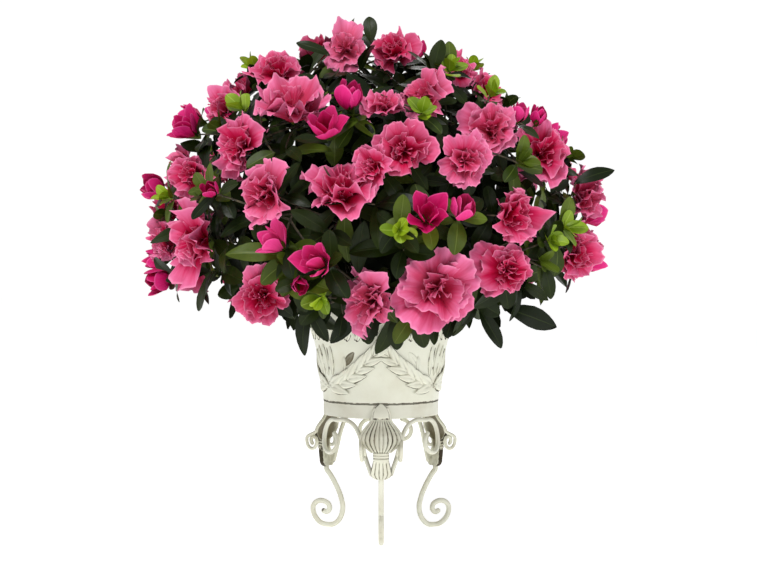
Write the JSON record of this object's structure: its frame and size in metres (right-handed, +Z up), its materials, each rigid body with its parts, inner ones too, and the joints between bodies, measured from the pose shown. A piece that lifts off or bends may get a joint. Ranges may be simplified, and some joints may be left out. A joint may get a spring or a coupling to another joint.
{
  "type": "potted artificial azalea",
  "caption": "Round bushy azalea in bloom, standing in a flared relief pot held by the collar of a three-legged scroll stand.",
  "frame": {"origin": "on the floor under the pot's axis", "axes": "+Z up, -Y towards the front leg and the viewer, +X to the viewer's right"},
  "size_m": [0.5085, 0.5067, 0.5573],
  "materials": {
    "antique_white_metal": "cream paint over metal, satin, rubbed dark along edges and recesses",
    "moss": "dry moss over a moulded plant base",
    "stem_bark": "moulded brown stem, rough",
    "azalea_foliage": "pink silk petals and dark green silk leaves on fine twigs"
  },
  "bodies": {
    "root": {"arm_front_left": "antique_white_metal", "arm_front_right": "antique_white_metal", "arm_rear_left": "antique_white_metal", "arm_rear_right": "antique_white_metal", "bough_shoulder_1": "stem_bark", "bough_shoulder_2": "stem_bark", "bough_shoulder_3": "stem_bark", "bough_shoulder_4": "stem_bark", "bough_shoulder_5": "stem_bark", "bough_skirt_1": "stem_bark", "bough_skirt_2": "stem_bark", "bough_skirt_3": "stem_bark", "bough_skirt_4": "stem_bark", "bough_skirt_5": "stem_bark", "bough_skirt_6": "stem_bark", "bough_skirt_7": "stem_bark", "bough_skirt_8": "stem_bark", "bough_top": "stem_bark", "collar": "antique_white_metal", "leg_front": "antique_white_metal", "leg_left": "antique_white_metal", "leg_right": "antique_white_metal", "main_stem": "stem_bark", "mass_shoulder_1": "azalea_foliage", "mass_shoulder_2": "azalea_foliage", "mass_shoulder_3": "azalea_foliage", "mass_shoulder_4": "azalea_foliage", "mass_shoulder_5": "azalea_foliage", "mass_skirt_1": "azalea_foliage", "mass_skirt_2": "azalea_foliage", "mass_skirt_3": "azalea_foliage", "mass_skirt_4": "azalea_foliage", "mass_skirt_5": "azalea_foliage", "mass_skirt_6": "azalea_foliage", "mass_skirt_7": "azalea_foliage", "mass_skirt_8": "azalea_foliage", "mass_top": "azalea_foliage", "pot": "antique_white_metal", "pot_filling": "moss", "shell_front": "antique_white_metal", "shell_left": "antique_white_metal", "shell_right": "antique_white_metal"}
  },
  "joints": []
}
